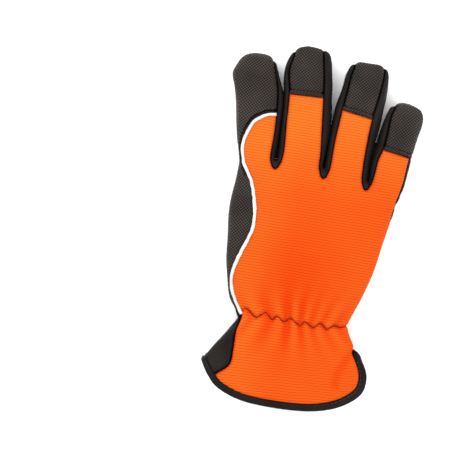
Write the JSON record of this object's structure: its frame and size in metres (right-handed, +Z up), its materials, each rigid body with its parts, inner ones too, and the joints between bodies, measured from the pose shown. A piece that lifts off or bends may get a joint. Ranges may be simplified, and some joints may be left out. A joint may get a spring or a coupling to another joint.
{
  "type": "lined winter work glove",
  "caption": "Right-hand winter glove lying palm down, orange ribbed knit back, black embossed leather palm and tips, gathered wrist and flared bound cuff.",
  "frame": {"origin": "centre of the outline, on the surface that the glove lies on", "axes": "+Y to the fingertips, +X to the little finger, +Z up through the back of the hand"},
  "size_m": [0.1342, 0.2523, 0.0389],
  "materials": {
    "knit": "high-visibility orange ribbed knit, fine ribs across the hand",
    "leather": "black synthetic leather with a fine diamond emboss and a soft sheen",
    "piping": "white retroreflective piping",
    "binding": "smooth black binding, folded and stitched"
  },
  "bodies": {
    "root": {"back_panel": "knit", "thumb_back": "knit", "palm_panel": "leather", "thumb_front": "leather", "fourchette_index_middle": "leather", "fourchette_middle_ring": "leather", "fourchette_ring_little": "leather", "tip_cap_middle": "leather", "tip_cap_ring": "leather", "tip_cap_little": "leather", "reflective_piping": "piping", "cuff_binding": "binding"}
  },
  "joints": []
}
